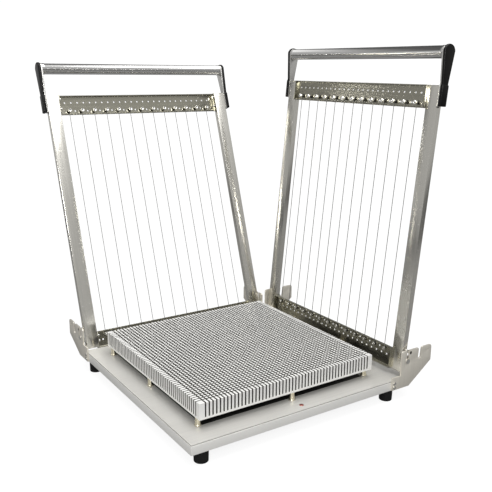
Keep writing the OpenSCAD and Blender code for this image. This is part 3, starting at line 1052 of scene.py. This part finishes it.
for arm in arms:
    low, high = arm.box("handle_tube")
    radius = (high.z - low.z) / 2
    centre = (low + high) / 2
    bore = radius - tube_wall
    # half of the tube's wall, from the middle to its end
    outer = [
        (radius, 0),
        (radius, high.x - ferrule_length),
        (radius + ferrule_rise, high.x - ferrule_length + 0.8 * MM),
        (radius + ferrule_rise, high.x - 0.6 * MM),
        (radius - 0.2 * MM, high.x),
        (bore, high.x),
        (bore, 0),
    ]
    halves = []
    for side in (-1, 1):
        place = Matrix.Translation((0, centre.y, centre.z)) @ across_x(0)
        flip = Matrix.Scale(side, 4, (0, 0, 1))
        halves.append(turned(outer, place @ flip, 64))
    tube = joined(halves)
    bmesh.ops.remove_doubles(tube, verts=tube.verts, dist=weld)
    bmesh.ops.recalc_face_normals(tube, faces=tube.faces)
    arm.piece("polished_handle", tube, tube_steel, "handle_steel", "handle_tube")
    carry(arm.name + "_handle_plugs", plastic)
    carry(arm.name + "_handle_bolts", zinc, 0.3 * MM)
    for end in ("near", "far"):
        rail_low, rail_high = arm.box(end + "_rail")
        half = (rail_high.z - rail_low.z) / 2
        low, high = arm.box(end + "_bracket")
        shoulder = rail_low.y - bracket_taper
        arm.piece(
            end + "_handle_bracket",
            plate(
                [paddle(high.y, shoulder, centre.y, half, bracket_round, centre.z)],
                high.x - low.x,
                bracket_edge,
                upright(low.x, high.x),
                2,
            ),
            bracket_steel,
            "fitting_steel",
            end + "_bracket",
        )
        low, high = arm.box(end + "_cover")
        outward = 1 if low.x > 0 else -1
        inner = low.x if outward > 0 else high.x
        wide = half + cover_proud
        body = plate(
            [paddle(high.y, shoulder, centre.y, wide, bracket_round + cover_proud, centre.z)],
            cover_thick,
            cover_edge,
            upright(inner, inner + outward * cover_thick),
            4,
        )
        foot = block(
            (low.x, high.y - cover_foot_long, centre.z - cover_foot_half),
            (high.x, high.y, centre.z + cover_foot_half),
            cover_foot_edge,
            4,
        )
        cover = joined([body, foot])
        arm.piece(end + "_handle_cover", cover, plastic, "black_plastic", end + "_cover")
    carry(arm.name + "_cover_screws", zinc, 0.25 * MM)

# ---- Room ----
# A pale floor, and a soft studio that is bright overhead with dim bands lower down, which
# give the metal its shading. The camera stands off the near left side, level with the handles.
floor_reach = 1.6
floor_sides = 96
floor_drop = 0.2 * MM
white = 1.05
camera_place = Vector((-0.73896, -1.15007, 0.6239))
camera_azimuth = radians(-33.61)
camera_elevation = radians(14.2)
camera_roll = radians(0.58)

floor_mesh = bpy.data.meshes.new("floor")
floor_ring = [
    (
        floor_reach * cos(tau * i / floor_sides),
        floor_reach * sin(tau * i / floor_sides),
        cad_box[0].z - floor_drop,
    )
    for i in range(floor_sides)
]
floor_mesh.from_pydata(floor_ring, [], [list(range(floor_sides))])
floor = bpy.data.objects.new("floor", floor_mesh)
bpy.context.scene.collection.objects.link(floor)
floor_paint = Paint(bpy.data.materials.new("floor_white"))
floor_seen = floor_paint.node("LightPath", out="Is Camera Ray")
floor_mesh.materials.append(
    floor_paint.surface(
        Base_Color=(0.12, 0.12, 0.12, 1),
        Roughness=0.9,
        Emission_Color=floor_paint.blend(floor_seen, (0.1, 0.1, 0.1), (0.88, 0.88, 0.88)),
        Emission_Strength=1.0,
    )
)

bpy.context.scene.view_settings.view_transform = "Standard"
world = bpy.data.worlds.new("studio")
bpy.context.scene.world = world
sky = Paint(world)
direction = sky.node("TexCoord", out="Generated")
height = sky.node("SeparateXYZ", {}, {0: direction}, "Z")
to_camera = (sin(camera_azimuth), -cos(camera_azimuth), 0)
facing = sky.node("VectorMath", {"operation": "DOT_PRODUCT"}, {0: direction, 1: to_camera}, "Value")
level = height * 0.5 + 0.5
behind_us = sky.node(
    "ValToRGB",
    {"stops": [(0.3, 0.1), (0.46, 0.12), (0.49, 0.45), (0.67, 0.45), (0.82, 0.68), (0.95, 1.5)]},
    {0: level},
)
ahead = sky.node(
    "ValToRGB",
    {"stops": [(0.37, 0.1), (0.46, 0.55), (0.56, 0.55), (0.62, 0.1), (0.92, 0.12), (0.98, 1.2)]},
    {0: level},
)
side = sky.node("ValToRGB", {"stops": [(0.15, 0.0), (0.4, 1.0)]}, {0: facing * 0.5 + 0.5})
studio = sky.node("Mix", {"data_type": "RGBA"}, {0: side, 6: ahead, 7: behind_us}, 2)
seen = sky.node("LightPath", out="Is Camera Ray")
light = sky.node(
    "Mix", {"data_type": "RGBA"}, {0: seen, 6: studio, 7: (white, white, white, 1)}, 2
)
backdrop = sky.node("Background", {}, {"Color": light, "Strength": 1.0})
sky.node("OutputWorld", {}, {"Surface": backdrop})


def softbox(name, place, size, power):
    """A square lamp that points at the object."""
    lamp = bpy.data.lights.new(name, "AREA")
    lamp.shape = "SQUARE"
    lamp.size = size
    lamp.energy = power
    holder = bpy.data.objects.new(name, lamp)
    bpy.context.scene.collection.objects.link(holder)
    holder.location = place
    towards = Vector((0, 0, 0.2)) - Vector(place)
    holder.rotation_euler = towards.to_track_quat("-Z", "Y").to_euler()


softbox("overhead", (0.2, -0.3, 2.4), 1.8, 31)
softbox("front_left", (-1.5, -2.0, 1.6), 0.9, 40)

lens = bpy.data.cameras.new("camera")
lens.sensor_width = 36
lens.lens = 51.15
camera = bpy.data.objects.new("camera", lens)
bpy.context.scene.collection.objects.link(camera)
back = Vector(
    (
        sin(camera_azimuth) * cos(camera_elevation),
        -cos(camera_azimuth) * cos(camera_elevation),
        sin(camera_elevation),
    )
)
right = Vector((cos(camera_azimuth), sin(camera_azimuth), 0))
upward = back.cross(right)
aim = Matrix((right, upward, back)).transposed().to_4x4() @ Matrix.Rotation(camera_roll, 4, "Z")
camera.matrix_world = Matrix.Translation(camera_place) @ aim
bpy.context.scene.camera = camera
